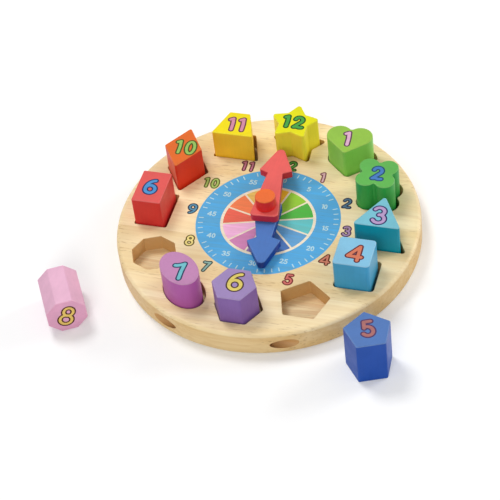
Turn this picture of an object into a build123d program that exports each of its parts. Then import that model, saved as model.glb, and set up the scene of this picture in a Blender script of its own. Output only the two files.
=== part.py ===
from build123d import *
import math
import os

# Wooden clock puzzle for a young child, at rest as the photograph shows it.
# Millimetres, +Z up. The origin is the centre of the board's underside, and
# 12 o'clock lies along +Y and 3 o'clock along +X.

# Board
board_thickness = 19.0
board_edge_round = 3.0
stave_count = 5
overrun = 1.0

# Ring of pockets, which sets the board's size
hours_on_dial = 12
pocket_spacing = 1.88
pocket_rim_wall = 5.2
pocket_depth = 12.5
pocket_gap = 1.4
pocket_corner_round = 1.5
pocket_lip_round = 0.5

# How each pocket strays from its hour in the photograph: degrees clockwise, and
# how much further out it lies, of the ring's radius
pocket_stray_shares = {
    1: (2.8, -0.01),
    2: (1.9, -0.01),
    3: (2.0, 0.005),
    4: (-2.3, 0.01),
    5: (-2.2, -0.015),
    6: (-0.9, -0.005),
    7: (-2.1, 0.025),
    8: (-1.9, 0.015),
    9: (-1.7, -0.005),
    10: (-0.3, 0),
    11: (0.4, -0.005),
    12: (0.6, -0.025),
}

# Two blind holes bored in from the rim, along one chord near 6 o'clock, whose
# middle has this bearing in degrees clockwise from 12 o'clock
rim_hole_diameter = 8.0
rim_hole_setback = 9.5
rim_hole_end_wall = 6.0
rim_hole_bearing = 183.0

# Blocks
block_height = 36.0
block_edge_round = 0.8
block_corner_round = 1.2
heart_lobe_radius = 9.4
heart_lobe_overlap = 3.6
heart_height = 28.0
heart_tip_round = 2.0
heart_notch_round = 2.0
clover_lobe_radius = 7.4
clover_lobe_overlap = 1.2
clover_notch_round = 1.6
triangle_radius = 20.0
triangle_corner_round = 1.6
square_side = 26.0
square_corner_round = 2.6
pentagon_radius = 17.0
hexagon_radius = 16.1
oval_length = 35.2
oval_width = 24.0
oval_turn = 138.0
octagon_radius = 15.2
rectangle_width = 21.6
rectangle_length = 31.2
rhombus_width = 28.6
rhombus_length = 41.6
trapezium_base = 31.6
trapezium_top = 15.6
trapezium_height = 24.2
star_tip_radius = 19.5
star_waist_radius = 11.2
star_corner_round = 2.0

# How far a seated block leans off its pocket's middle, of the gap round it
settle_x_share = -0.5
settle_y_share = -0.55

# Where the two loose blocks lie on the table: their clearance from the board's
# rim, and their bearing in degrees clockwise from 12 o'clock
standing_block_gap = 14.6
standing_block_bearing = 136.4
standing_block_turn = 22.0
lying_block_gap = 29.2
lying_block_bearing = 232.9
lying_block_heading = -60.0

# Axle peg and spacer washer
axle_diameter = 8.0
axle_socket_depth = 12.0
axle_end_chamfer = 0.8
knob_diameter = 14.6
knob_height = 9.6
knob_edge_round = 0.9
washer_diameter = 16.0
washer_thickness = 2.5
washer_edge_round = 0.4
washer_bore_gap = 0.2

# Play of the turning hands on the peg, around it and along it
running_gap = 0.08
stack_gap = 0.1
knob_gap = 0.3

# Hands, measured from the axle's centre along each hand
hand_thickness = 6.5
hand_tail = 10.3
hand_tail_width = 21.0
hand_tail_round = 3.2
hand_neck_width = 11.2
hand_barb_width = 24.4
hand_barb_sweep = 3.0
hand_barb_round = 1.0
hand_neck_round = 0.6
hand_tip_round = 3.5
hand_edge_round = 0.9
hand_block_clearance = 4.3
hour_hand_shortfall = 9.2
hand_head_length = 27.2
hour_hand_heading = 170.0
minute_hand_heading = -4.0

heart_lobe_spacing = 2 * heart_lobe_radius - heart_lobe_overlap
clover_lobe_spacing = 2 * clover_lobe_radius - clover_lobe_overlap

# The ring is as wide as its pitch asks, and the board goes round the ring
widest_block = max(
    heart_lobe_spacing + 2 * heart_lobe_radius,
    clover_lobe_spacing + 2 * clover_lobe_radius,
    2 * triangle_radius,
    math.sqrt(2) * square_side,
    2 * pentagon_radius,
    2 * hexagon_radius,
    oval_length,
    2 * octagon_radius,
    math.hypot(rectangle_width, rectangle_length),
    rhombus_length,
    trapezium_base,
    2 * star_tip_radius,
)
pocket_pitch = widest_block + pocket_spacing
pocket_ring_radius = pocket_pitch / 2 / math.sin(math.pi / hours_on_dial)
board_radius = pocket_ring_radius + widest_block / 2 + pocket_rim_wall
board_diameter = 2 * board_radius
minute_hand_reach = pocket_ring_radius - widest_block / 2 - hand_block_clearance
hour_hand_reach = minute_hand_reach - hour_hand_shortfall

# Heights of the stack, worked up from the board's top
pocket_floor = board_thickness - pocket_depth
hour_hand_base = board_thickness + washer_thickness + stack_gap
minute_hand_base = hour_hand_base + hand_thickness + stack_gap
knob_base = minute_hand_base + hand_thickness + knob_gap
hand_bore_diameter = axle_diameter + 2 * running_gap


# Each outline below lies out by grow: nothing for a block, the gap for its pocket.


def rounded(outline, grow, corner=block_corner_round):
    """Round the corners, a pocket's no sharper than its cutter leaves them."""
    return fillet(outline.vertices(), max(corner, pocket_corner_round) if grow else corner)


def regular(radius, sides, first_corner, grow):
    grown = radius + grow / math.cos(math.pi / sides)
    return RegularPolygon(grown, sides, rotation=first_corner)


def angular(points, grow, corner=block_corner_round):
    shape = Polygon(*points, align=None)
    if grow:
        shape = offset(shape, amount=grow, kind=Kind.INTERSECTION)
    return rounded(shape, grow, corner)


def heart(grow):
    """Two round lobes drawn down to a rounded tip."""
    lobe = heart_lobe_radius + grow
    tip = heart_tip_round + grow
    half_spacing = heart_lobe_spacing / 2
    lobe_rise = heart_height / 2 - heart_lobe_radius
    tip_drop = heart_height / 2 - heart_tip_round
    lobes = [Pos(side * half_spacing, lobe_rise) * Circle(lobe) for side in (-1, 1)]
    body = make_hull((lobes[0] + lobes[1] + Pos(0, -tip_drop) * Circle(tip)).edges())
    saddle = Pos(0, lobe_rise + lobe) * Rectangle(heart_lobe_spacing, 2 * lobe)
    shape = body - saddle + lobes[0] + lobes[1]
    notch = [v for v in shape.vertices() if abs(v.X) < heart_notch_round and v.Y > 0]
    return fillet(notch, heart_notch_round)


def clover(grow):
    """Four lobes on the corners of a square, with a shallow notch between them."""
    half_spacing = clover_lobe_spacing / 2
    shape = Rectangle(clover_lobe_spacing, clover_lobe_spacing)
    for side_x in (-1, 1):
        for side_y in (-1, 1):
            centre = Pos(side_x * half_spacing, side_y * half_spacing)
            shape = shape + centre * Circle(clover_lobe_radius + grow)
    notch = [v for v in shape.vertices() if min(abs(v.X), abs(v.Y)) < clover_notch_round]
    return fillet(notch, clover_notch_round)


def triangle(grow):
    return rounded(regular(triangle_radius, 3, 90, grow), grow, triangle_corner_round)


def square(grow):
    side = square_side + 2 * grow
    return rounded(Rectangle(side, side), grow, square_corner_round)


def pentagon(grow):
    return rounded(regular(pentagon_radius, 5, 90, grow), grow)


def hexagon(grow):
    return rounded(regular(hexagon_radius, 6, 0, grow), grow)


def oval(grow):
    return Ellipse(oval_length / 2 + grow, oval_width / 2 + grow, rotation=oval_turn)


def octagon(grow):
    return rounded(regular(octagon_radius, 8, 0, grow), grow)


def rectangle(grow):
    return rounded(Rectangle(rectangle_width + 2 * grow, rectangle_length + 2 * grow), grow)


def rhombus(grow):
    half_w, half_l = rhombus_width / 2, rhombus_length / 2
    return angular([(half_w, 0), (0, half_l), (-half_w, 0), (0, -half_l)], grow)


def trapezium(grow):
    half_base, half_top, half_h = trapezium_base / 2, trapezium_top / 2, trapezium_height / 2
    points = [(half_base, -half_h), (half_top, half_h), (-half_top, half_h), (-half_base, -half_h)]
    return angular(points, grow)


def star(grow):
    points = []
    for k in range(10):
        radius = star_waist_radius if k % 2 else star_tip_radius
        angle = math.radians(90 + 36 * k)
        points.append((radius * math.cos(angle), radius * math.sin(angle)))
    return angular(points, grow, star_corner_round)


outlines = {
    1: ("heart", heart),
    2: ("clover", clover),
    3: ("triangle", triangle),
    4: ("square", square),
    5: ("pentagon", pentagon),
    6: ("hexagon", hexagon),
    7: ("oval", oval),
    8: ("octagon", octagon),
    9: ("rectangle", rectangle),
    10: ("rhombus", rhombus),
    11: ("trapezium", trapezium),
    12: ("star", star),
}


def place(distance, bearing):
    """The point at a distance from the peg, in degrees clockwise from 12 o'clock."""
    angle = math.radians(90 - bearing)
    return distance * math.cos(angle), distance * math.sin(angle)


def hour_place(hour):
    """Centre of an hour's pocket on the board."""
    stray, further_out_share = pocket_stray_shares[hour]
    distance = pocket_ring_radius * (1 + further_out_share)
    return place(distance, 360 * hour / hours_on_dial + stray)


def block(hour):
    """One block standing on its own base, digit face up."""
    name, outline = outlines[hour]
    body = extrude(outline(0), amount=block_height)
    ends = body.edges().filter_by(Plane.XY)
    return fillet(ends, block_edge_round)


def placed_block(hour):
    """A block in its pocket, or loose on the table beside the board."""
    if hour == 5:
        distance = board_radius + standing_block_gap + pentagon_radius
        x, y = place(distance, standing_block_bearing)
        return Pos(x, y, 0) * Rot(0, 0, standing_block_turn) * block(hour)
    if hour == 8:
        flat_side = 180 / 8
        lie_height = octagon_radius * math.cos(math.radians(flat_side))
        distance = board_radius + lying_block_gap + block_height / 2
        x, y = place(distance, lying_block_bearing)
        lying = Rot(0, 0, lying_block_heading) * Rot(0, 90, 0) * Rot(0, 0, flat_side)
        return Pos(x, y, lie_height) * lying * Pos(0, 0, -block_height / 2) * block(hour)
    x, y = hour_place(hour)
    seat = Pos(x + settle_x_share * pocket_gap, y + settle_y_share * pocket_gap, pocket_floor)
    return seat * block(hour)


def rim_hole(side):
    """A blind hole bored in from the rim along the chord near 6 o'clock."""
    start = hexagon_radius + pocket_gap + rim_hole_end_wall
    length = board_radius - start
    drill = Rot(0, 90, 0) * Cylinder(rim_hole_diameter / 2, length)
    chord_y = rim_hole_setback - board_radius
    drill = Pos(side * (start + length / 2), chord_y, board_thickness / 2) * drill
    return Rot(0, 0, 180 - rim_hole_bearing) * drill


def whole_board():
    """The board before it is parted along its glue lines."""
    disc = Pos(0, 0, board_thickness / 2) * Cylinder(board_radius, board_thickness)
    disc = fillet(disc.edges().filter_by(GeomType.CIRCLE), board_edge_round)
    for hour, (name, outline) in outlines.items():
        x, y = hour_place(hour)
        mouth = Pos(x, y, pocket_floor) * outline(pocket_gap)
        disc = disc - extrude(mouth, amount=pocket_depth + overrun)
    top = disc.faces().sort_by(Axis.Z)[-1]
    lips = [edge for wire in top.inner_wires() for edge in wire.edges()]
    disc = fillet(lips, pocket_lip_round)
    socket = Cylinder(axle_diameter / 2, axle_socket_depth + overrun)
    middle = board_thickness + overrun / 2 - axle_socket_depth / 2
    disc = disc - Pos(0, 0, middle) * socket
    for side in (-1, 1):
        disc = disc - rim_hole(side)
    return disc


def staves():
    """The board's edge-glued staves, from the 6 o'clock side to the 12 o'clock side."""
    board = whole_board()
    width = board_diameter / stave_count
    slab = Box(board_diameter + overrun, width, board_thickness + overrun)
    parts = []
    for number in range(stave_count):
        middle = (number + 1 / 2) * width - board_radius
        parts.append(board & Pos(0, middle, board_thickness / 2) * slab)
    return parts


def axle_peg():
    """A turned peg: a shank glued into the board and a knob that keeps the hands on."""
    shank_base = board_thickness - axle_socket_depth
    shank_length = knob_base - shank_base
    shank = Pos(0, 0, shank_base + shank_length / 2) * Cylinder(axle_diameter / 2, shank_length)
    shank = chamfer(shank.edges().group_by(Axis.Z)[0], axle_end_chamfer)
    knob = Pos(0, 0, knob_base + knob_height / 2) * Cylinder(knob_diameter / 2, knob_height)
    rims = knob.edges().filter_by(GeomType.CIRCLE).group_by(Axis.Z)
    knob = fillet(rims[-1], knob_edge_round)
    return shank + knob


def spacer_washer():
    """The washer that holds the hour hand off the printed dial."""
    ring = Circle(washer_diameter / 2) - Circle(axle_diameter / 2 + washer_bore_gap)
    body = Pos(0, 0, board_thickness) * extrude(ring, amount=washer_thickness)
    outer = [edge for edge in body.edges().filter_by(GeomType.CIRCLE)
             if edge.radius > washer_diameter / 4 + axle_diameter / 4]
    return fillet(outer, washer_edge_round)


def hand(reach, base, heading):
    """An arrow-shaped hand, turned clockwise from 12 o'clock by its heading."""
    half_tail, half_neck, half_barb = hand_tail_width / 2, hand_neck_width / 2, hand_barb_width / 2
    half_angle = math.atan(half_barb / hand_head_length)
    point_y = reach + hand_tip_round * (1 / math.sin(half_angle) - 1)
    barb_y = point_y - hand_head_length
    neck_y = barb_y - hand_barb_sweep
    half = [(half_tail, -hand_tail), (half_neck, neck_y), (half_barb, barb_y)]
    mirrored = [(-x, y) for x, y in reversed(half)]
    shape = Polygon(*half, (0, point_y), *mirrored, align=None)
    corners = shape.vertices().sort_by(Axis.Y)
    shape = fillet(corners[-1], hand_tip_round)
    shape = fillet(shape.vertices().group_by(Axis.Y)[0], hand_tail_round)
    sharp = [v for v in shape.vertices() if abs(abs(v.X) - half_barb) < hand_barb_round]
    shape = fillet(sharp, hand_barb_round)
    inner = [v for v in shape.vertices() if abs(v.Y - neck_y) < hand_neck_round]
    shape = fillet(inner, hand_neck_round)
    body = extrude(shape, amount=hand_thickness)
    body = fillet(body.edges().filter_by(Plane.XY), hand_edge_round)
    bore = Pos(0, 0, hand_thickness / 2) * Cylinder(hand_bore_diameter / 2, hand_thickness + overrun)
    return Pos(0, 0, base) * Rot(0, 0, -heading) * (body - bore)


def main():
    os.makedirs("parts", exist_ok=True)
    for number, stave in enumerate(staves(), start=1):
        export_step(stave, f"parts/board_stave_{number}.step")
    export_step(axle_peg(), "parts/axle_peg.step")
    export_step(spacer_washer(), "parts/spacer_washer.step")
    export_step(hand(hour_hand_reach, hour_hand_base, hour_hand_heading), "parts/hour_hand.step")
    export_step(hand(minute_hand_reach, minute_hand_base, minute_hand_heading), "parts/minute_hand.step")
    for hour, (name, outline) in outlines.items():
        export_step(placed_block(hour), f"parts/block_{hour:02d}_{name}.step")


main()
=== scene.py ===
"""Looks of the wooden clock puzzle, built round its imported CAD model.

Lengths are in metres, in the part's own frame: the origin is the centre of the
board's underside, +Z is up, +Y is 12 o'clock and +X is 3 o'clock.
"""

import logging
import math
from dataclasses import dataclass, replace
from enum import Enum

import bpy
from mathutils import Matrix, Vector


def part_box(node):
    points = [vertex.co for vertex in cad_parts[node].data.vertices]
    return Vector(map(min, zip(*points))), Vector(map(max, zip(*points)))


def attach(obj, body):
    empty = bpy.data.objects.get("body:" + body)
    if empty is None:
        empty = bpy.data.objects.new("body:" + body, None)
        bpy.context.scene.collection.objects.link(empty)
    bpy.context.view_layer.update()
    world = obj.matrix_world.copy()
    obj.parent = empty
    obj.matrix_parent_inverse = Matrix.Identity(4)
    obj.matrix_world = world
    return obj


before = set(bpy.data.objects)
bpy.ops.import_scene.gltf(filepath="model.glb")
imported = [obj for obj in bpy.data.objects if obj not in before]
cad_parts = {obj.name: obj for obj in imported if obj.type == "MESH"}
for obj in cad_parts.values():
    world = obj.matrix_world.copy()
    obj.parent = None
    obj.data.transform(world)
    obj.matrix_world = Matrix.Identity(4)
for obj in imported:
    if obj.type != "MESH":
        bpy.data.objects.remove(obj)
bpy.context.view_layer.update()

log = logging.getLogger("clock_puzzle")
MM = 0.001
Material = bpy.types.Material
Scene = bpy.types.Scene
Socket = bpy.types.NodeSocket
Tree = bpy.types.NodeTree
Point = tuple[float, float]
Place = tuple[float, float, float]
UP: Place = (0.0, 0.0, 1.0)
WHITE = (1.0, 1.0, 1.0, 1.0)
FALLING: Point = (1.0, 0.0)


@dataclass(frozen=True)
class Colour:
    """A colour as a paint chart gives it, from 0 to 255 a channel."""

    red: float
    green: float
    blue: float

    def linear(self) -> tuple[float, float, float, float]:
        """The colour in linear light, worked out by the sRGB curve.

        Returns:
            Its red, green and blue, and full opacity.
        """
        toe, slope, offset, power = 0.04045, 12.92, 0.055, 2.4
        channels = []
        for value in (self.red, self.green, self.blue):
            share = value / 255
            bright = ((share + offset) / (1 + offset)) ** power
            channels.append(share / slope if share <= toe else bright)
        return (*channels, 1.0)

    def times(self, factor: float) -> "Colour":
        """The same hue, darker below 1 and lighter above it."""
        return Colour(*(min(255.0, c * factor) for c in (self.red, self.green, self.blue)))

    def towards(self, other: "Colour", share: float) -> "Colour":
        """The colour that lies a share of the way to another."""
        mine, theirs = (self.red, self.green, self.blue), (other.red, other.green, other.blue)
        return Colour(*(a + (b - a) * share for a, b in zip(mine, theirs)))


class NodeKit:
    """Adds nodes to one node tree and joins them up."""

    def __init__(self, tree: Tree) -> None:
        """Keep the tree.

        Args:
            tree: the tree of a material, a world or a node group.
        """
        self.tree = tree

    def add(self, kind: str, **settings: object) -> bpy.types.Node:
        """Add one node.

        Args:
            kind: the node's type name.
            settings: properties of the node to set.

        Returns:
            The new node.
        """
        node = self.tree.nodes.new(kind)
        for name, value in settings.items():
            setattr(node, name, value)
        return node

    def feed(self, socket: Socket, value: object) -> None:
        """Join an output to an input, or set the input's own value.

        Args:
            socket: the input.
            value: an output socket, or a plain value.
        """
        if isinstance(value, Socket):
            self.tree.links.new(value, socket)
        else:
            socket.default_value = value

    def maths(self, operation: str, first: object, second: object = None) -> Socket:
        """Work out one sum.

        Args:
            operation: the Math node's operation.
            first: the first value or socket.
            second: the second value or socket, if the operation has one.

        Returns:
            The socket that holds the result.
        """
        node = self.add("ShaderNodeMath", operation=operation)
        self.feed(node.inputs[0], first)
        if second is not None:
            self.feed(node.inputs[1], second)
        return node.outputs[0]

    def vector(self, operation: str, first: object, second: object) -> Socket:
        """Combine two vectors.

        Args:
            operation: the Vector Math node's operation.
            first: the first vector or socket.
            second: the second vector or socket.

        Returns:
            The vector socket, or the value socket for a dot product.
        """
        node = self.add("ShaderNodeVectorMath", operation=operation)
        self.feed(node.inputs[0], first)
        self.feed(node.inputs[1], second)
        return node.outputs["Value" if operation == "DOT_PRODUCT" else "Vector"]

    def ramp(self, value: object, span: Point, target: Point = (0.0, 1.0)) -> Socket:
        """Map a value smoothly from one span to another.

        Args:
            value: the socket to map.
            span: where it starts and ends.
            target: what it becomes there.

        Returns:
            The mapped value's socket.
        """
        node = self.add("ShaderNodeMapRange", interpolation_type="SMOOTHSTEP")
        self.feed(node.inputs["Value"], value)
        for name, number in zip(("From Min", "From Max", "To Min", "To Max"), (*span, *target)):
            node.inputs[name].default_value = number
        return node.outputs["Result"]

    def noise(self, vector: object, scale: object, seed: object, detail: float) -> Socket:
        """A cloudy value over stretched coordinates.

        Args:
            vector: the coordinates, in metres.
            scale: how many clouds lie in a metre along X, Y and Z.
            seed: the fourth coordinate, which makes each piece differ.
            detail: how many finer layers are added.

        Returns:
            The value's socket.
        """
        node = self.add("ShaderNodeTexNoise", noise_dimensions="4D")
        self.feed(node.inputs["Vector"], self.vector("MULTIPLY", vector, scale))
        self.feed(node.inputs["W"], seed)
        node.inputs["Scale"].default_value = 1.0
        node.inputs["Detail"].default_value = detail
        return node.outputs[0]

    def blend(self, share: object, first: object, second: object, mode: str = "MIX") -> Socket:
        """Mix two colours.

        Args:
            share: how much of the second is taken.
            first: the colour at 0.
            second: the colour at 1.
            mode: the Mix node's way of blending.

        Returns:
            The mixed colour's socket.
        """
        node = self.add("ShaderNodeMix", data_type="RGBA", blend_type=mode)
        factor, first_colour, second_colour, mixed_colour = 0, 6, 7, 2
        self.feed(node.inputs[factor], share)
        self.feed(node.inputs[first_colour], first)
        self.feed(node.inputs[second_colour], second)
        return node.outputs[mixed_colour]

    def coat(
        self, under: object, colour: Colour, mask: object, share: object, mode: str = "MIX"
    ) -> Socket:
        """Lay a share of a colour over what is there, where a mask from 0 to 1 is high."""
        return self.blend(self.maths("MULTIPLY", mask, share), under, colour.linear(), mode)

    def seen(self) -> Socket:
        """1 where the camera looks, and 0 for light that only falls."""
        return self.add("ShaderNodeLightPath").outputs["Is Camera Ray"]


class GroupSheet:
    """One shader node group with named inputs and outputs."""

    def __init__(self, name: str, inputs: dict[str, str], outputs: dict[str, str]) -> None:
        """Open an empty group.

        Args:
            name: the group's name.
            inputs: each input's name and socket type.
            outputs: each output's name and socket type.
        """
        self.tree = bpy.data.node_groups.new(name, "ShaderNodeTree")
        for label, kind in inputs.items():
            self.tree.interface.new_socket(name=label, in_out="INPUT", socket_type=kind)
        for label, kind in outputs.items():
            self.tree.interface.new_socket(name=label, in_out="OUTPUT", socket_type=kind)
        self.kit = NodeKit(self.tree)
        self.given = self.kit.add("NodeGroupInput").outputs
        self.result = self.kit.add("NodeGroupOutput").inputs


FLOAT, VECTOR = "NodeSocketFloat", "NodeSocketVector"


@dataclass
class Effects:
    """The shared surface effects, each built once as a node group.

    A scale counts the clouds in a metre along X, Y and Z. A span is where a mask starts
    and ends its rise or fall. The bearing is in degrees clockwise from 12 o'clock.
    """

    sway_scale: Place = (9.0, 14.0, 14.0)
    sway: float = 12.0 * MM
    band_scale: Place = (3.5, 85.0, 60.0)
    band_share: float = 0.6
    band_span: Point = (0.36, 0.64)
    cloud_scale: Place = (16.0, 30.0, 30.0)
    cloud_span: Point = (0.38, 0.62)
    fibre_scale: Place = (26.0, 560.0, 560.0)
    fibre_span: Point = (0.3, 0.72)
    pore_scale: Place = (120.0, 900.0, 900.0)
    pore_span: Point = (0.57, 0.7)
    pore_depth: float = 0.6
    pocket_rim_fall: Point = (107.0 * MM, 108.0 * MM)
    pocket_floor_rise: Point = (2.5 * MM, 4.5 * MM)
    pocket_floor_fall: Point = (12.5 * MM, 14.5 * MM)
    bore_middle: Place = (-5.26 * MM, -100.36 * MM, 9.5 * MM)
    bore_bearing: float = 93.0
    bore_wall_fall: Point = (4.02 * MM, 4.2 * MM)
    flank_fall: Point = (0.15, 0.6)
    arris_rise: Point = (0.12, 0.5)
    arris_fall: Point = (0.8, 0.985)
    tone_scale: Place = (60.0, 60.0, 60.0)
    tone_span: Point = (0.3, 0.7)
    painted_fibre_span: Point = (0.35, 0.75)
    peel_scale: Place = (900.0, 900.0, 900.0)
    peel_share: float = 0.4

    def __post_init__(self) -> None:
        """Build the groups."""
        self.timber = self._timber_figure()
        self.cuts = self._cut_mask()
        self.arris = self._arris_mask()
        self.paint = self._paint_skin()

    def _timber_figure(self) -> Tree:
        """Bands, fibres and pores that run along X, as in a sawn stave.

        Returns:
            The node group.
        """
        sheet = GroupSheet(
            "timber_figure",
            {"Vector": VECTOR, "Seed": FLOAT},
            {"Band": FLOAT, "Fibre": FLOAT, "Pore": FLOAT, "Height": FLOAT},
        )
        kit, seed = sheet.kit, sheet.given["Seed"]
        sway = kit.noise(sheet.given["Vector"], self.sway_scale, seed, detail=1.0)
        shift = kit.add("ShaderNodeCombineXYZ")
        kit.feed(shift.inputs["Y"], kit.maths("MULTIPLY", sway, self.sway))
        place = kit.vector("ADD", sheet.given["Vector"], shift.outputs[0])
        band = kit.noise(place, self.band_scale, seed, detail=2.0)
        cloud = kit.noise(place, self.cloud_scale, seed, detail=2.0)
        fibre = kit.noise(place, self.fibre_scale, seed, detail=4.0)
        pore = kit.noise(place, self.pore_scale, seed, detail=2.0)
        pores = kit.maths("MULTIPLY", kit.ramp(pore, self.pore_span), kit.ramp(cloud, self.cloud_span))
        clouds = kit.maths("MULTIPLY", cloud, 1 - self.band_share)
        mixed = kit.maths("ADD", kit.maths("MULTIPLY", band, self.band_share), clouds)
        height = kit.maths("SUBTRACT", fibre, kit.maths("MULTIPLY", pores, self.pore_depth))
        kit.feed(sheet.result["Band"], kit.ramp(mixed, self.band_span))
        kit.feed(sheet.result["Fibre"], kit.ramp(fibre, self.fibre_span))
        kit.feed(sheet.result["Pore"], pores)
        kit.feed(sheet.result["Height"], height)
        return sheet.tree

    def _cut_mask(self) -> Tree:
        """Tells the pockets' walls and floors and the rim's bores from the rest of the board.

        Returns:
            The node group.
        """
        sheet = GroupSheet("cut_mask", {"Vector": VECTOR}, {"Inner": FLOAT, "Floor": FLOAT, "Bore": FLOAT})
        kit, place = sheet.kit, sheet.given["Vector"]
        flat = kit.vector("MULTIPLY", place, (1.0, 1.0, 0.0))
        out = kit.maths("SQRT", kit.vector("DOT_PRODUCT", flat, flat))
        inner = kit.ramp(out, self.pocket_rim_fall, FALLING)
        level = kit.vector("DOT_PRODUCT", place, UP)
        sunk = kit.ramp(level, self.pocket_floor_fall, FALLING)
        raised = kit.ramp(level, self.pocket_floor_rise)
        angle = math.radians(90 - self.bore_bearing)
        across = (-math.sin(angle), math.cos(angle), 0.0)
        side = kit.vector("DOT_PRODUCT", kit.vector("SUBTRACT", place, self.bore_middle), across)
        rise = kit.maths("SUBTRACT", level, self.bore_middle[2])
        square = kit.maths("ADD", kit.maths("MULTIPLY", side, side), kit.maths("MULTIPLY", rise, rise))
        # Bore wall mask, where the timber gets painted shade inside the bores.
        bore = kit.ramp(kit.maths("SQRT", square), self.bore_wall_fall, FALLING)
        kit.feed(sheet.result["Inner"], inner)
        kit.feed(sheet.result["Floor"], kit.maths("MULTIPLY", kit.maths("MULTIPLY", sunk, raised), inner))
        kit.feed(sheet.result["Bore"], bore)
        return sheet.tree

    def _arris_mask(self) -> Tree:
        """Tells flanks, rounded arrises and end faces apart by the surface's own normal.

        Returns:
            The node group.
        """
        sheet = GroupSheet("arris_mask", {"Axis": VECTOR}, {"Flank": FLOAT, "Arris": FLOAT})
        kit = sheet.kit
        normal = kit.add("ShaderNodeTexCoord").outputs["Normal"]
        along = kit.maths("ABSOLUTE", kit.vector("DOT_PRODUCT", normal, sheet.given["Axis"]))
        rising, falling = kit.ramp(along, self.arris_rise), kit.ramp(along, self.arris_fall, FALLING)
        kit.feed(sheet.result["Flank"], kit.ramp(along, self.flank_fall, FALLING))
        kit.feed(sheet.result["Arris"], kit.maths("MULTIPLY", rising, falling))
        return sheet.tree

    def _paint_skin(self) -> Tree:
        """The slight unevenness of sprayed paint with wood fibres under it.

        Returns:
            The node group.
        """
        sheet = GroupSheet(
            "paint_skin",
            {"Vector": VECTOR, "Seed": FLOAT, "Grain": VECTOR},
            {"Tone": FLOAT, "Fibre": FLOAT, "Height": FLOAT},
        )
        kit, place, seed = sheet.kit, sheet.given["Vector"], sheet.given["Seed"]
        tone = kit.noise(place, self.tone_scale, seed, detail=3.0)
        fibre = kit.noise(place, sheet.given["Grain"], seed, detail=3.0)
        peel = kit.noise(place, self.peel_scale, seed, detail=1.0)
        kit.feed(sheet.result["Tone"], kit.ramp(tone, self.tone_span))
        kit.feed(sheet.result["Fibre"], kit.ramp(fibre, self.painted_fibre_span))
        height = kit.maths("ADD", kit.maths("MULTIPLY", peel, self.peel_share), fibre)
        kit.feed(sheet.result["Height"], height)
        return sheet.tree


class Surface:
    """One material with its Principled shader, ready to be dressed."""

    def __init__(self, name: str, shine: float) -> None:
        """Open the material.

        Args:
            name: the material's name.
            shine: how strongly it reflects, where 0.5 is a usual lacquer.
        """
        self.material = bpy.data.materials.new(name)
        self.material.use_nodes = True
        self.kit = NodeKit(self.material.node_tree)
        self.shader = self.material.node_tree.nodes["Principled BSDF"].inputs
        self.shader["Specular IOR Level"].default_value = shine
        self.place = self.kit.add("ShaderNodeTexCoord").outputs["Object"]

    def effect(self, group: Tree, **values: object) -> bpy.types.NodeOutputs:
        """Place a shared effect in this material.

        Args:
            group: the effect's node group.
            values: its inputs, by name.

        Returns:
            The effect's outputs.
        """
        node = self.kit.add("ShaderNodeGroup", node_tree=group)
        for name, value in values.items():
            self.kit.feed(node.inputs[name], value)
        return node.outputs

    def relief(self, height: Socket, strength: float, depth: float) -> None:
        """Give the surface a fine relief.

        Args:
            height: the relief's height, from 0 to 1.
            strength: of the bump.
            depth: of the relief in metres.
        """
        bump = self.kit.add("ShaderNodeBump")
        bump.inputs["Strength"].default_value = strength
        bump.inputs["Distance"].default_value = depth
        self.kit.feed(bump.inputs["Height"], height)
        self.kit.feed(self.shader["Normal"], bump.outputs[0])


@dataclass(frozen=True)
class Timber:
    """Pale lacquered hardwood, with its own figure for each stave, and painted shade on its flanks, pocket
    walls and bores.

    A share is how much of a colour is laid where its mask is full. The two worked
    shares are for a pocket's floor, between its fibres and on them.
    """

    name: str
    seed: float
    pale: Colour
    straw: Colour
    pore: Colour
    cut: Colour
    fibre: Colour = Colour(214, 176, 122)
    scorch: Colour = Colour(206, 163, 103)
    worked: Colour = Colour(222, 184, 138)
    bore: Colour = Colour(196, 142, 78)
    fibre_share: float = 0.3
    pore_share: float = 0.5
    cut_share: float = 0.62
    scorch_share: float = 0.75
    worked_span: Point = (0.2, 1.0)
    worked_shares: Point = (0.05, 0.6)
    bore_share: float = 0.8
    shine: float = 0.35
    roughness: Point = (0.4, 0.55)
    bump: float = 0.25
    depth: float = 0.1 * MM

    def material(self, effects: Effects) -> Material:
        """Build the material.

        Args:
            effects: the shared surface effects.

        Returns:
            The finished material.
        """
        surface = Surface(self.name, self.shine)
        kit = surface.kit
        figure = surface.effect(effects.timber, Vector=surface.place, Seed=self.seed)
        face = surface.effect(effects.arris, Axis=UP)
        cuts = surface.effect(effects.cuts, Vector=surface.place)
        wall = kit.maths("MULTIPLY", cuts["Inner"], face["Flank"])
        floor = kit.maths("MULTIPLY", cuts["Floor"], kit.maths("SUBTRACT", 1.0, face["Flank"]))
        worked_share = kit.ramp(figure["Fibre"], self.worked_span, self.worked_shares)
        wood = kit.blend(figure["Band"], self.pale.linear(), self.straw.linear())
        wood = kit.coat(wood, self.fibre, figure["Fibre"], self.fibre_share)
        wood = kit.coat(wood, self.pore, figure["Pore"], self.pore_share)
        # Flanks darker: partly the cut faces' own tone, partly painted side shade.
        wood = kit.coat(wood, self.cut, face["Flank"], self.cut_share, "MULTIPLY")
        # Painted shade on the pocket walls.
        wood = kit.coat(wood, self.scorch, wall, self.scorch_share)
        wood = kit.coat(wood, self.worked, floor, worked_share)
        # Painted shade inside the rim's bores.
        wood = kit.coat(wood, self.bore, cuts["Bore"], self.bore_share)
        kit.feed(surface.shader["Base Color"], wood)
        kit.feed(surface.shader["Roughness"], kit.ramp(figure["Fibre"], (0.0, 1.0), self.roughness))
        surface.relief(figure["Height"], self.bump, self.depth)
        return surface.material


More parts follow.
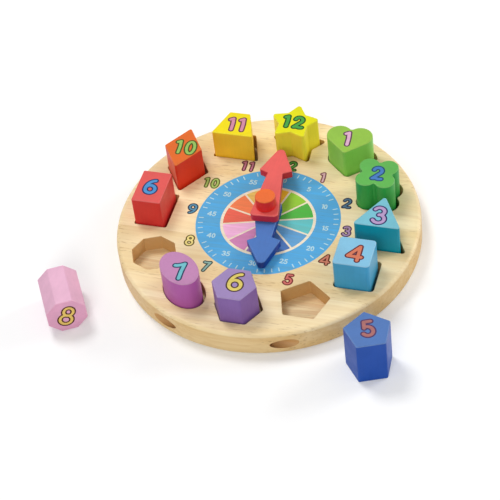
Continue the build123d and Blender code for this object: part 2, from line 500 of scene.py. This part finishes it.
@dataclass(frozen=True)
class Paint:
    """Satin paint on wood, with a second colour on the flanks that is painted side shade and light, and
    paler along the arrises, where it is worn thin and has a painted highlight.

    The axis is square to the end faces, and the grain counts the fibres in a metre
    along X, Y and Z.
    """

    name: str
    seed: float
    colour: Colour
    # The side colour is painted shade and light on the flanks, not a second paint.
    side: Colour
    axis: Place = UP
    grain: Place = (800.0, 800.0, 60.0)
    wear: float = 0.3
    worn: Colour = Colour(250, 240, 220)
    worn_share: float = 0.3
    shade: Colour = Colour(0, 0, 0)
    tone_share: float = 0.1
    fibre_share: float = 0.045
    shine: float = 0.28
    roughness: Point = (0.36, 0.48)
    bump: float = 0.14
    depth: float = 0.06 * MM

    def material(self, effects: Effects) -> Material:
        """Build the material.

        Args:
            effects: the shared surface effects.

        Returns:
            The finished material.
        """
        surface = Surface(self.name, self.shine)
        kit = surface.kit
        skin = surface.effect(effects.paint, Vector=surface.place, Seed=self.seed, Grain=self.grain)
        face = surface.effect(effects.arris, Axis=self.axis)
        # Painted side shading: the flanks take the side colour instead of the paint's own.
        coat = kit.blend(face["Flank"], self.colour.linear(), self.side.linear())
        coat = kit.coat(coat, self.shade, skin["Tone"], self.tone_share)
        coat = kit.coat(coat, self.shade, skin["Fibre"], self.fibre_share)
        # Paler arrises: the paint worn thin, and a painted highlight along every rounded edge.
        coat = kit.coat(coat, self.colour.towards(self.worn, self.worn_share), face["Arris"], self.wear)
        kit.feed(surface.shader["Base Color"], coat)
        kit.feed(surface.shader["Roughness"], kit.ramp(skin["Tone"], (0.0, 1.0), self.roughness))
        surface.relief(skin["Height"], self.bump, self.depth)
        return surface.material


class Ground(Enum):
    """What an ink is printed on: its tint in the ink, how much its pores show, and its relief."""

    TIMBER = (0.1, 0.28, 0.08 * MM)
    PAINT = (0.0, 0.08, 0.03 * MM)


@dataclass(frozen=True)
class Ink:
    """A screen-printed colour that follows the surface under it.

    Its tones darken it along the fibres and in the pores.
    """

    name: str
    colour: Colour
    ground: Ground
    seed: float = 3.0
    wood: Colour = Colour(215, 180, 125)
    thin_tone: float = 0.94
    pore_tone: float = 0.72
    shine: float = 0.15
    roughness: float = 0.48
    bump: float = 0.2

    def material(self, effects: Effects) -> Material:
        """Build the material.

        Args:
            effects: the shared surface effects.

        Returns:
            The finished material.
        """
        surface = Surface(self.name, self.shine)
        kit = surface.kit
        tint, pore_share, depth = self.ground.value
        figure = surface.effect(effects.timber, Vector=surface.place, Seed=self.seed)
        thin = self.colour.times(self.thin_tone).towards(self.wood, tint)
        film = kit.blend(figure["Fibre"], self.colour.linear(), thin.linear())
        film = kit.coat(film, self.colour.times(self.pore_tone), figure["Pore"], pore_share)
        kit.feed(surface.shader["Base Color"], film)
        kit.feed(surface.shader["Roughness"], self.roughness)
        surface.relief(figure["Height"], self.bump, depth)
        return surface.material


def paint_over(node: str, material: Material) -> None:
    """Finish one CAD node.

    Args:
        node: its name.
        material: what it is dressed with.
    """
    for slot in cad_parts[node].material_slots:
        slot.material = material
    log.info("dressed %s in %s", node, material.name)


def arc(centre: Point, radii: Point, start: float, end: float, steps: int = 20) -> list[Point]:
    """Points along an elliptical arc.

    Args:
        centre: of the ellipse.
        radii: across and up.
        start: first angle in degrees, anticlockwise from the right.
        end: last angle in degrees.
        steps: how many stretches the arc has.

    Returns:
        The points, the first and last included.
    """
    angles = [math.radians(start + (end - start) * k / steps) for k in range(steps + 1)]
    return [(centre[0] + radii[0] * math.cos(a), centre[1] + radii[1] * math.sin(a)) for a in angles]


def disc(radius: float, steps: int = 96) -> list[Point]:
    """The corners of a round face with its middle at 0, 0."""
    return arc((0.0, 0.0), (radius, radius), 0.0, 360.0, steps)[:-1]


@dataclass(frozen=True)
class Stroke:
    """The middle line of one pen stroke, open or closed."""

    points: tuple[Point, ...]
    closed: bool = False


@dataclass(frozen=True)
class Figure:
    """One numeral: the width of its middle lines where its height is 1, and its strokes."""

    width: float
    strokes: tuple[Stroke, ...]


def open_stroke(*points: Point) -> Stroke:
    """A stroke with two round ends."""
    return Stroke(tuple(points))


def ring_stroke(centre: Point, radii: Point) -> Stroke:
    """A closed oval stroke."""
    return Stroke(tuple(arc(centre, radii, 90, 450, steps=36)[:-1]), closed=True)


def numeral(width: float, *strokes: Stroke) -> Figure:
    """One numeral, made of the strokes that follow its width."""
    return Figure(width, strokes)


FIGURES: dict[str, Figure] = {
    "0": numeral(0.48, ring_stroke((0.24, 0.5), (0.24, 0.5))),
    "1": numeral(
        0.2,
        open_stroke((0.17, 0.0), (0.2, 0.5), (0.18, 1.0)),
        open_stroke((0.18, 1.0), (0.0, 0.9)),
    ),
    "2": numeral(
        0.54,
        open_stroke(*arc((0.26, 0.73), (0.25, 0.27), 168, -36), (0.0, 0.02)),
        open_stroke((0.0, 0.02), (0.2, 0.06), (0.38, 0.0), (0.54, 0.03)),
    ),
    "3": numeral(
        0.56,
        open_stroke(*arc((0.26, 0.76), (0.24, 0.24), 155, -88)),
        open_stroke(*arc((0.27, 0.27), (0.28, 0.27), 88, -155)),
    ),
    "4": numeral(
        0.72,
        open_stroke((0.55, 1.0), (0.0, 0.26)),
        open_stroke((0.0, 0.26), (0.72, 0.26)),
        open_stroke((0.55, 1.0), (0.55, 0.0)),
    ),
    "5": numeral(
        0.54,
        open_stroke((0.16, 1.0), (0.53, 1.0)),
        open_stroke((0.16, 1.0), (0.1, 0.56)),
        open_stroke((0.1, 0.56), *arc((0.24, 0.32), (0.3, 0.32), 118, -150)),
    ),
    "6": numeral(
        0.58,
        ring_stroke((0.29, 0.3), (0.29, 0.3)),
        open_stroke(*arc((0.55, 0.32), (0.55, 0.68), 96, 180)),
    ),
    "7": numeral(
        0.5,
        open_stroke((0.0, 0.96), (0.1, 0.93), (0.3, 0.94), (0.5, 0.98)),
        open_stroke((0.5, 0.98), (0.26, 0.5), (0.06, 0.0)),
    ),
    "8": numeral(
        0.56,
        ring_stroke((0.28, 0.76), (0.22, 0.24)),
        ring_stroke((0.28, 0.27), (0.28, 0.27)),
    ),
    "9": numeral(
        0.58,
        ring_stroke((0.29, 0.7), (0.29, 0.3)),
        open_stroke(*arc((0.03, 0.68), (0.55, 0.68), 0, -82)),
    ),
}


@dataclass(frozen=True)
class Lettering:
    """How a printed number is drawn.

    Fill and outline are the widths of its two strokes, slant is how far it leans to the
    right for each step up, and spacing is the gap between figures as a share of the
    wider stroke.
    """

    height: float
    fill: float
    outline: float
    slant: float = -math.tan(math.radians(3.0))
    spacing: float = 1.22

    def strokes(self, text: str) -> list[Stroke]:
        """The strokes of a number, centred on 0, 0 and slanted.

        Args:
            text: the number's figures.

        Returns:
            Its strokes in metres.
        """
        pen = max(self.fill, self.outline)
        tall = self.height - pen
        gap = self.spacing * pen / tall
        left, made = 0.0, []
        for character in text:
            figure = FIGURES[character]
            for stroke in figure.strokes:
                points = tuple((left + x + (y - 0.5) * self.slant, y - 0.5) for x, y in stroke.points)
                made.append((points, stroke.closed))
            left += figure.width + gap
        middle = (left - gap) / 2
        return [
            Stroke(tuple(((x - middle) * tall, y * tall) for x, y in points), closed)
            for points, closed in made
        ]


@dataclass(frozen=True)
class NumberInks:
    """The two inks of an outlined number."""

    fill: Material
    outline: Material


class PrintedSheet:
    """Flat shapes of one or more inks, printed on one plane and kept as one mesh."""

    film: float = 0.008 * MM
    cap_steps: int = 12

    def __init__(self, name: str, place: Matrix) -> None:
        """Open an empty sheet.

        Args:
            name: the piece's name.
            place: from the sheet's own plane to the part's frame.
        """
        self.name = name
        self.place = place
        self.points: list[Vector] = []
        self.faces: list[list[int]] = []
        self.ink_of_face: list[int] = []
        self.inks: list[Material] = []

    def shape(self, outline: list[Point], ink: Material, height: float = 0.0) -> None:
        """Print one face.

        Args:
            outline: its corners, anticlockwise.
            ink: its material.
            height: above the sheet's plane.
        """
        if ink not in self.inks:
            self.inks.append(ink)
        first = len(self.points)
        self.points += [Vector((x, y, height)) for x, y in outline]
        self.faces.append(list(range(first, first + len(outline))))
        self.ink_of_face.append(self.inks.index(ink))

    def ribbon(self, stroke: Stroke, width: float, ink: Material, height: float) -> None:
        """Print a stroke with round ends.

        Args:
            stroke: its middle line.
            width: of the ribbon.
            ink: its material.
            height: above the sheet's plane.
        """
        points = [Vector(p) for p in stroke.points]
        count, half = len(points), width / 2
        left, right = [], []
        for k, point in enumerate(points):
            if stroke.closed:
                ahead, behind = points[(k + 1) % count], points[k - 1]
            else:
                ahead, behind = points[min(k + 1, count - 1)], points[max(k - 1, 0)]
            run = (ahead - behind).normalized()
            across = Vector((-run.y, run.x)) * half
            left.append(point + across)
            right.append(point - across)
        if stroke.closed:
            for k in range(count):
                after = (k + 1) % count
                corners = (right[k], right[after], left[after], left[k])
                self.shape([tuple(p) for p in corners], ink, height)
            return
        caps = []
        for end, near in ((points[-1], points[-2]), (points[0], points[1])):
            out = end - near
            middle = math.degrees(math.atan2(out.y, out.x))
            caps.append(arc(tuple(end), (half, half), middle - 90, middle + 90, self.cap_steps))
        outline = [tuple(p) for p in right] + caps[0] + [tuple(p) for p in reversed(left)] + caps[1]
        self.shape(outline, ink, height)

    def number(
        self, text: str, style: Lettering, inks: NumberInks, centre: Point, turn: float = 0.0
    ) -> None:
        """Print a number, outline first and fill on top, each stroke one film above the last.

        Args:
            text: its figures.
            style: how it is drawn.
            inks: its fill and outline.
            centre: where its middle comes.
            turn: in degrees, anticlockwise.
        """
        c, s = math.cos(math.radians(turn)), math.sin(math.radians(turn))
        strokes = []
        for stroke in style.strokes(text):
            moved = tuple((centre[0] + c * x - s * y, centre[1] + s * x + c * y) for x, y in stroke.points)
            strokes.append(Stroke(moved, stroke.closed))
        layers = [(style.fill, inks.fill)]
        if style.outline > 0:
            layers.insert(0, (style.outline, inks.outline))
        level = 0
        for width, ink in layers:
            for stroke in strokes:
                level += 1
                self.ribbon(stroke, width, ink, level * self.film)

    def make(self, body: str, slot: str) -> bpy.types.Object:
        """Turn the sheet into a piece that rides on a body.

        Args:
            body: the CAD body that carries it.
            slot: the record's material slot under it; not used.

        Returns:
            The new piece.
        """
        mesh = bpy.data.meshes.new(self.name)
        mesh.from_pydata([self.place @ p for p in self.points], [], self.faces)
        for ink in self.inks:
            mesh.materials.append(ink)
        for polygon, index in zip(mesh.polygons, self.ink_of_face):
            polygon.material_index = index
        mesh.update()
        piece = bpy.data.objects.new(self.name, mesh)
        bpy.context.scene.collection.objects.link(piece)
        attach(piece, body)
        log.info("printed %s: %d faces", self.name, len(self.faces))
        return piece


@dataclass(frozen=True)
class Hour:
    """One hour: its block, the number on the block, its sector and its number on the dial.

    Places are in millimetres: on_block from the middle of the block's box, and on_dial
    from the middle of the dial. The number on the block has its size and its pen as
    shares of the usual ones, and its turn in degrees, anticlockwise.
    """

    hour: int
    shape: str
    slot: str
    block: Colour
    # The block's side colour is painted shade and light on its flanks.
    side: Colour
    fill: Colour
    outline: Colour
    sector: Colour
    dial_fill: Colour
    dial_outline: Colour
    on_dial: Point
    on_block: Point = (0.0, 0.0)
    size: float = 1.0
    turn: float = 0.0
    pen: float = 1.0

    @property
    def node(self) -> str:
        """The name of the block's node, which is also its body."""
        return f"block_{self.hour:02d}_{self.shape}"


# Each hour's side colour is painted side shading for its block, not a second paint.
HOURS: tuple[Hour, ...] = (
    Hour(
        1, "heart", "paint_light_green",
        block=Colour(149, 196, 72), side=Colour(137, 212, 85),
        fill=Colour(224, 176, 204), outline=Colour(96, 58, 84),
        sector=Colour(149, 208, 61), dial_fill=Colour(230, 184, 196), dial_outline=Colour(118, 58, 74),
        on_dial=(28.1, 50.4), on_block=(-1.2, 0.7), size=1.02, turn=2.0,
    ),
    Hour(
        2, "clover", "paint_green",
        block=Colour(97, 180, 82), side=Colour(49, 167, 71),
        fill=Colour(72, 124, 190), outline=Colour(36, 76, 108),
        sector=Colour(81, 187, 71), dial_fill=Colour(72, 112, 144), dial_outline=Colour(40, 38, 66),
        on_dial=(52.1, 27.3), on_block=(0.6, -0.5), size=0.95,
    ),
    Hour(
        3, "triangle", "paint_cyan",
        block=Colour(119, 192, 209), side=Colour(2, 157, 179),
        fill=Colour(182, 154, 198), outline=Colour(46, 40, 96),
        sector=Colour(101, 203, 207), dial_fill=Colour(172, 140, 182), dial_outline=Colour(72, 38, 78),
        on_dial=(58.1, -0.1), on_block=(-0.2, -3.5), size=1.15,
    ),
    Hour(
        4, "square", "paint_sky_blue",
        block=Colour(132, 193, 224), side=Colour(65, 168, 214),
        fill=Colour(214, 122, 92), outline=Colour(100, 40, 50),
        sector=Colour(98, 166, 220), dial_fill=Colour(214, 128, 102), dial_outline=Colour(100, 40, 26),
        on_dial=(49.5, -30.0), on_block=(0.9, -1.4), size=1.04, turn=-2.0,
    ),
    Hour(
        5, "pentagon", "paint_blue",
        block=Colour(82, 121, 185), side=Colour(15, 78, 176),
        fill=Colour(174, 112, 110), outline=Colour(86, 60, 102),
        sector=Colour(70, 116, 186), dial_fill=Colour(212, 110, 102), dial_outline=Colour(118, 32, 38),
        on_dial=(28.8, -52.9), on_block=(1.2, 1.2),
    ),
    Hour(
        6, "hexagon", "paint_purple",
        block=Colour(156, 132, 185), side=Colour(134, 98, 171),
        fill=Colour(222, 202, 104), outline=Colour(72, 50, 44),
        sector=Colour(151, 122, 190), dial_fill=Colour(226, 206, 108), dial_outline=Colour(92, 66, 34),
        on_dial=(0.3, -58.4), on_block=(0.7, 2.1), size=1.12,
    ),
    Hour(
        7, "oval", "paint_magenta",
        block=Colour(190, 130, 176), side=Colour(184, 94, 174),
        fill=Colour(112, 188, 200), outline=Colour(36, 62, 92),
        sector=Colour(218, 138, 190), dial_fill=Colour(140, 186, 176), dial_outline=Colour(42, 66, 66),
        on_dial=(-31.3, -51.2), on_block=(2.4, -2.6), size=1.06, turn=20.0,
    ),
    Hour(
        8, "octagon", "paint_pink",
        block=Colour(238, 173, 204), side=Colour(230, 178, 204),
        fill=Colour(244, 208, 112), outline=Colour(80, 34, 16),
        sector=Colour(254, 190, 231), dial_fill=Colour(248, 230, 140), dial_outline=Colour(88, 76, 14),
        on_dial=(-50.5, -28.9), size=1.16, pen=0.82,
    ),
    Hour(
        9, "rectangle", "paint_red",
        block=Colour(225, 86, 82), side=Colour(220, 51, 48),
        fill=Colour(78, 146, 206), outline=Colour(30, 50, 96),
        sector=Colour(243, 106, 87), dial_fill=Colour(78, 148, 184), dial_outline=Colour(30, 46, 74),
        on_dial=(-57.7, 2.3), on_block=(-0.5, -0.1), size=1.02, turn=180.0,
    ),
    Hour(
        10, "rhombus", "paint_orange",
        block=Colour(228, 105, 29), side=Colour(227, 56, 27),
        fill=Colour(150, 192, 94), outline=Colour(74, 84, 30),
        sector=Colour(255, 133, 83), dial_fill=Colour(168, 200, 104), dial_outline=Colour(82, 98, 26),
        on_dial=(-51.6, 30.9), on_block=(1.9, 0.0), size=0.98, turn=2.0, pen=0.88,
    ),
    Hour(
        11, "trapezium", "paint_yellow",
        block=Colour(243, 221, 0), side=Colour(255, 213, 50),
        fill=Colour(212, 140, 164), outline=Colour(104, 58, 70),
        sector=Colour(240, 198, 103), dial_fill=Colour(194, 118, 148), dial_outline=Colour(88, 30, 46),
        on_dial=(-29.8, 52.7), on_block=(0.6, -0.7), size=0.98, turn=3.0,
    ),
    Hour(
        12, "star", "paint_lemon",
        block=Colour(230, 225, 5), side=Colour(252, 231, 61),
        fill=Colour(74, 164, 70), outline=Colour(20, 76, 38),
        sector=Colour(246, 198, 54), dial_fill=Colour(72, 148, 62), dial_outline=Colour(18, 66, 22),
        on_dial=(0.5, 58.3), on_block=(0.0, -1.8), size=0.92,
    ),
)


@dataclass
class Board:
    """The round board: five glued staves, the peg and the washer under the hands.

    A seed picks a piece's figure, and a tone makes its timber darker or lighter.
    """

    effects: Effects
    pale: Colour = Colour(249, 230, 187)
    straw: Colour = Colour(239, 212, 157)
    pore: Colour = Colour(150, 104, 58)
    # The flanks' multiply colour: the cut faces' tone and painted side shade.
    cut: Colour = Colour(232, 210, 168)
    stave_tones: tuple[float, ...] = (1.0, 0.985, 1.012, 0.99, 1.005)
    seed_step: float = 2.7
    washer_seed: float = 40.0
    washer_tone: float = 0.95
    # The knob's red side colour is painted side shade and a painted reflection of the red minute hand under
    # it.
    knob: Paint = Paint("knob_paint", 5.0, Colour(239, 109, 44), Colour(240, 46, 40), wear=0.1)

    def dress(self) -> None:
        """Give every stave its own figure, and finish the peg and the washer."""
        for number, tone in enumerate(self.stave_tones, start=1):
            timber = self._timber(f"stave_{number}_timber", self.seed_step * number, tone)
            paint_over(f"board_stave_{number}", timber.material(self.effects))
        washer = self._timber("washer_timber", self.washer_seed, self.washer_tone)
        paint_over("spacer_washer", washer.material(self.effects))
        paint_over("axle_peg", self.knob.material(self.effects))

    def _timber(self, name: str, seed: float, tone: float) -> Timber:
        """The board's timber with one figure and one tone."""
        pale, straw = self.pale.times(tone), self.straw.times(tone)
        return Timber(name, seed, pale, straw, self.pore, self.cut)


def minute_angle(minute: float) -> float:
    """Where a minute lies on the dial, in radians anticlockwise from 3 o'clock."""
    return math.radians(90 - 360 * minute / 60)


@dataclass
class Dial:
    """Everything printed on the board: the minute ring, the sectors and the numbers.

    Each sheet's lift is its height above the board's top.
    """

    effects: Effects
    body: str = "board"
    slot: str = "natural_wood"
    middle_stave: str = "board_stave_3"
    cream_lift: float = 0.01 * MM
    ring_lift: float = 0.02 * MM
    tick_lift: float = 0.04 * MM
    ring_outer: float = 52.5 * MM
    ring_inner: float = 34.7 * MM
    ring_steps: int = 144
    sector_outer: float = 32.6 * MM
    sector_inner: float = 6.0 * MM
    sector_steps: int = 10
    sector_rim_steps: int = 12
    spoke: float = 1.4 * MM
    tick_inner: float = 47.3 * MM
    tick_outer: float = 50.9 * MM
    tick_width: float = 0.85 * MM
    minute_radius: float = 42.4 * MM
    minute_style: Lettering = Lettering(4.7 * MM, 0.88 * MM, 0.0, spacing=1.1)
    hour_style: Lettering = Lettering(11.5 * MM, 1.35 * MM, 3.25 * MM)
    ring_colour: Colour = Colour(83, 173, 230)
    pale_colour: Colour = Colour(184, 222, 232)
    cream_colour: Colour = Colour(250, 236, 210)

    def print_all(self) -> None:
        """Print the dial's sheets."""
        pale_ink = self._ink("minute_ink", self.pale_colour)
        self._ring(self._ink("ring_ink", self.ring_colour))
        self._ticks(pale_ink)
        self._minutes(pale_ink)
        self._cream(self._ink("dial_cream_ink", self.cream_colour))
        self._sectors()
        self._hours()

    def _ink(self, name: str, colour: Colour) -> Material:
        """An ink that is printed on the board's timber."""
        return Ink(name, colour, Ground.TIMBER).material(self.effects)

    def _sheet(self, name: str, lift: float) -> PrintedSheet:
        """An empty sheet just above the board's top."""
        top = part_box(self.middle_stave)[1].z
        return PrintedSheet(name, Matrix.Translation((0.0, 0.0, top + lift)))

    def _ring(self, ink: Material) -> None:
        """Print the blue ring behind the minutes.

        Args:
            ink: its material.
        """
        sheet = self._sheet("dial_minute_ring", self.ring_lift)
        for k in range(self.ring_steps):
            angles = [math.tau * step / self.ring_steps for step in (k, k + 1)]
            inner = [(self.ring_inner * math.cos(a), self.ring_inner * math.sin(a)) for a in angles]
            outer = [(self.ring_outer * math.cos(a), self.ring_outer * math.sin(a)) for a in angles]
            sheet.shape([inner[0], outer[0], outer[1], inner[1]], ink)
        sheet.make(self.body, self.slot)

    def _ticks(self, ink: Material) -> None:
        """Print four ticks between each two printed minutes.

        Args:
            ink: their material.
        """
        sheet = self._sheet("dial_minute_ticks", self.tick_lift)
        for minute in range(60):
            if minute % 5 == 0:
                continue
            a = minute_angle(minute)
            along = Vector((math.cos(a), math.sin(a)))
            across = Vector((-math.sin(a), math.cos(a))) * self.tick_width / 2
            near, far = along * self.tick_inner, along * self.tick_outer
            corners = (near - across, far - across, far + across, near + across)
            sheet.shape([tuple(c) for c in corners], ink)
        sheet.make(self.body, self.slot)

    def _minutes(self, ink: Material) -> None:
        """Print the minutes from 5 to 60.

        Args:
            ink: their material.
        """
        sheet = self._sheet("dial_minute_numbers", self.ring_lift)
        inks = NumberInks(ink, ink)
        for minute in range(5, 65, 5):
            a = minute_angle(minute)
            centre = (self.minute_radius * math.cos(a), self.minute_radius * math.sin(a))
            sheet.number(str(minute), self.minute_style, inks, centre)
        sheet.make(self.body, self.slot)

    def _cream(self, ink: Material) -> None:
        """Print the cream disc that shows between the sectors and round them.

        Args:
            ink: its material.
        """
        sheet = self._sheet("dial_cream_disc", self.cream_lift)
        sheet.shape(disc(self.ring_inner), ink)
        sheet.make(self.body, self.slot)

    def _sectors(self) -> None:
        """Print twelve coloured sectors, with cream spokes of even width between them."""
        sheet = self._sheet("dial_hour_sectors", self.ring_lift)
        reach = self.sector_outer - self.sector_inner
        radii = [
            self.sector_inner + reach * k / self.sector_steps for k in range(self.sector_steps + 1)
        ]
        half_spans = [math.pi / len(HOURS) - math.asin(self.spoke / 2 / radius) for radius in radii]
        for hour in HOURS:
            middle = minute_angle(5 * hour.hour)
            first, last = (math.degrees(middle + side * half_spans[-1]) for side in (-1, 1))
            outer = (self.sector_outer, self.sector_outer)
            rim = arc((0.0, 0.0), outer, first, last, self.sector_rim_steps)
            low, high = (
                [
                    (r * math.cos(middle + side * s), r * math.sin(middle + side * s))
                    for r, s in zip(radii, half_spans)
                ]
                for side in (-1, 1)
            )
            ink = self._ink(f"sector_{hour.hour:02d}_ink", hour.sector)
            sheet.shape(low[:-1] + rim + high[-2::-1], ink)
        sheet.make(self.body, self.slot)

    def _hours(self) -> None:
        """Print the hour numbers round the ring, each with its own two inks."""
        sheet = self._sheet("dial_hour_numbers", 0.0)
        for hour in HOURS:
            label = f"hour_{hour.hour:02d}"
            inks = NumberInks(
                self._ink(f"{label}_fill", hour.dial_fill),
                self._ink(f"{label}_outline", hour.dial_outline),
            )
            centre = (hour.on_dial[0] * MM, hour.on_dial[1] * MM)
            sheet.number(str(hour.hour), self.hour_style, inks, centre)
        sheet.make(self.body, self.slot)


@dataclass
class Blocks:
    """The twelve painted blocks and their printed numbers.

    One of the two loose blocks lies on its side, with its end towards its heading and
    its number rolled round it, and the other stands turned. All three are in degrees.
    """

    effects: Effects
    lying_hour: int = 8
    lying_heading: float = -60.0
    lying_roll: float = 26.0
    standing_hour: int = 5
    standing_turn: float = 22.0
    seed_step: float = 1.7
    grain_along: float = 60.0
    grain_across: float = 800.0
    style: Lettering = Lettering(16.7 * MM, 2.45 * MM, 4.5 * MM)

    def dress(self) -> None:
        """Paint every block and print its number on its top face."""
        for hour in HOURS:
            axis = self._axis(hour)
            grain = tuple(self.grain_across + (self.grain_along - self.grain_across) * abs(a) for a in axis)
            name, seed = f"block_{hour.hour:02d}_paint", self.seed_step * hour.hour
            # The side colour gives each block painted side shading on its flanks.
            paint = Paint(name, seed, hour.block, hour.side, axis, grain)
            paint_over(hour.node, paint.material(self.effects))
            self._number(hour)

    def _axis(self, hour: Hour) -> Place:
        """Which way a block's printed end looks.

        Args:
            hour: the block's hour.

        Returns:
            The direction, one metre long.
        """
        if hour.hour != self.lying_hour:
            return UP
        heading = math.radians(self.lying_heading)
        return (math.cos(heading), math.sin(heading), 0.0)

    def _number(self, hour: Hour) -> None:
        """Print one block's number.

        Args:
            hour: the block's hour.
        """
        label = f"block_{hour.hour:02d}_number"
        inks = NumberInks(
            Ink(f"{label}_fill", hour.fill, Ground.PAINT).material(self.effects),
            Ink(f"{label}_outline", hour.outline, Ground.PAINT).material(self.effects),
        )
        style = replace(
            self.style,
            height=self.style.height * hour.size,
            fill=self.style.fill * hour.pen,
            outline=self.style.outline * (1 + hour.pen) / 2,
        )
        centre = (hour.on_block[0] * MM, hour.on_block[1] * MM)
        sheet = PrintedSheet(f"number_{hour.hour:02d}_on_block", self._face(hour))
        sheet.number(str(hour.hour), style, inks, centre, hour.turn)
        sheet.make(hour.node, hour.slot)

    def _face(self, hour: Hour) -> Matrix:
        """Where a block's printed face lies.

        Args:
            hour: the block's hour.

        Returns:
            The matrix from the face's own plane to the part's frame.
        """
        low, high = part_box(hour.node)
        middle = (low + high) / 2
        if hour.hour != self.lying_hour:
            turn = math.radians(self.standing_turn) if hour.hour == self.standing_hour else 0.0
            return Matrix.Translation((middle.x, middle.y, high.z)) @ Matrix.Rotation(turn, 4, "Z")
        outward, up, roll = Vector(self._axis(hour)), Vector(UP), math.radians(self.lying_roll)
        right = up.cross(outward)
        turned_up = up * math.cos(roll) + right * math.sin(roll)
        turned_right = right * math.cos(roll) - up * math.sin(roll)
        face = Matrix((turned_right, turned_up, outward)).transposed().to_4x4()
        face.translation = middle + outward * self._length() / 2
        return face

    def _length(self) -> float:
        """The length that all blocks share, read from the first one, which is seated upright."""
        low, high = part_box(HOURS[0].node)
        return high.z - low.z


@dataclass
class Hands:
    """The two painted arrow hands."""

    effects: Effects
    hour_colour: Colour = Colour(72, 117, 188)
    # The hour hand's side colour is painted shade on its flanks.
    hour_side: Colour = Colour(1, 55, 151)
    hour_seed: float = 21.0
    minute_colour: Colour = Colour(235, 98, 93)
    # The minute hand's side colour is painted shade on its flanks.
    minute_side: Colour = Colour(206, 44, 62)
    minute_seed: float = 23.0
    grain: Place = (700.0, 70.0, 700.0)
    wear: float = 0.1

    def dress(self) -> None:
        """Paint both hands, with their grain along the line from 6 to 12 o'clock."""
        for node, seed, colour, side in (
            ("hour_hand", self.hour_seed, self.hour_colour, self.hour_side),
            ("minute_hand", self.minute_seed, self.minute_colour, self.minute_side),
        ):
            paint = Paint(f"{node}_paint", seed, colour, side, grain=self.grain, wear=self.wear)
            paint_over(node, paint.material(self.effects))


@dataclass(frozen=True)
class Lamp:
    """A large soft lamp that points at the clock, with its diameter and its watts."""

    name: str
    place: Place
    size: float
    power: float

    def hang(self, scene: Scene) -> None:
        """Put the lamp in a scene.

        Args:
            scene: what it lights.
        """
        data = bpy.data.lights.new(self.name, "AREA")
        data.shape, data.size, data.energy = "DISK", self.size, self.power
        lamp = bpy.data.objects.new(self.name, data)
        lamp.location = self.place
        lamp.rotation_euler = (-Vector(self.place)).to_track_quat("-Z", "Y").to_euler()
        scene.collection.objects.link(lamp)


@dataclass
class Studio:
    """The pale floor, the soft light and the camera.

    The camera's turn is in degrees, and its lens and sensor are in millimetres. Only the
    camera sees the floor's glow, which lights nothing.
    """

    camera_at: Place = (0.31113, -0.85482, 0.9287)
    camera_turn: Place = (43.8885, 5.3716, 15.4279)
    lens: float = 128.75
    sensor: float = 36.0
    nearest: float = 0.05
    furthest: float = 50.0
    floor_radius: float = 0.5
    floor_drop: float = 0.02 * MM
    floor_white: float = 0.88
    floor_glow: float = 0.125
    sky_light: float = 0.44
    lamps: tuple[Lamp, ...] = (
        Lamp("key_lamp", (-0.64, 0.42, 1.44), 0.6, 10.6),
        Lamp("left_lamp", (-1.45, 0.35, 0.75), 0.7, 1.2),
        Lamp("right_lamp", (1.15, 0.9, 0.72), 0.7, 9.5),
        Lamp("front_lamp", (0.1, -1.4, 1.0), 0.7, 7.0),
    )

    def set_up(self) -> None:
        """Build the studio."""
        scene = bpy.context.scene
        scene.view_settings.view_transform = "Standard"
        self._camera(scene)
        self._floor(scene)
        self._sky(scene)
        for lamp in self.lamps:
            lamp.hang(scene)
        log.info("studio ready")

    def _camera(self, scene: Scene) -> None:
        """Set the photograph's view.

        Args:
            scene: what the camera looks at.
        """
        data = bpy.data.cameras.new("camera")
        data.lens, data.sensor_width = self.lens, self.sensor
        data.clip_start, data.clip_end = self.nearest, self.furthest
        camera = bpy.data.objects.new("camera", data)
        camera.location = self.camera_at
        camera.rotation_euler = [math.radians(a) for a in self.camera_turn]
        scene.collection.objects.link(camera)
        scene.camera = camera

    def _floor(self, scene: Scene) -> None:
        """Lay a plain white floor that keeps the object's shadow.

        Args:
            scene: where it lies.
        """
        corners = [(x, y, 0.0) for x, y in disc(self.floor_radius)]
        mesh = bpy.data.meshes.new("floor")
        mesh.from_pydata(corners, [], [list(range(len(corners)))])
        material = bpy.data.materials.new("floor_paper")
        material.use_nodes = True
        kit = NodeKit(material.node_tree)
        shader = material.node_tree.nodes["Principled BSDF"].inputs
        shader["Base Color"].default_value = (*(self.floor_white,) * 3, 1.0)
        shader["Roughness"].default_value = 1.0
        shader["Specular IOR Level"].default_value = 0.0
        shader["Emission Color"].default_value = WHITE
        kit.feed(shader["Emission Strength"], kit.maths("MULTIPLY", kit.seen(), self.floor_glow))
        mesh.materials.append(material)
        floor = bpy.data.objects.new("floor", mesh)
        floor.location.z = -self.floor_drop
        scene.collection.objects.link(floor)

    def _sky(self, scene: Scene) -> None:
        """Light the scene evenly from all round, and show the camera plain white.

        Args:
            scene: what it lights.
        """
        world = bpy.data.worlds.new("sky")
        world.use_nodes = True
        kit = NodeKit(world.node_tree)
        background = world.node_tree.nodes["Background"].inputs
        background["Color"].default_value = WHITE
        kit.feed(background["Strength"], kit.ramp(kit.seen(), (0.0, 1.0), (self.sky_light, 1.0)))
        scene.world = world


def main() -> None:
    """Dress the board, print the dial, paint blocks and hands, and set up the studio."""
    logging.basicConfig(level=logging.INFO, format="%(name)s: %(message)s")
    effects = Effects()
    Board(effects).dress()
    Dial(effects).print_all()
    Blocks(effects).dress()
    Hands(effects).dress()
    Studio().set_up()


if __name__ == "__main__":
    main()
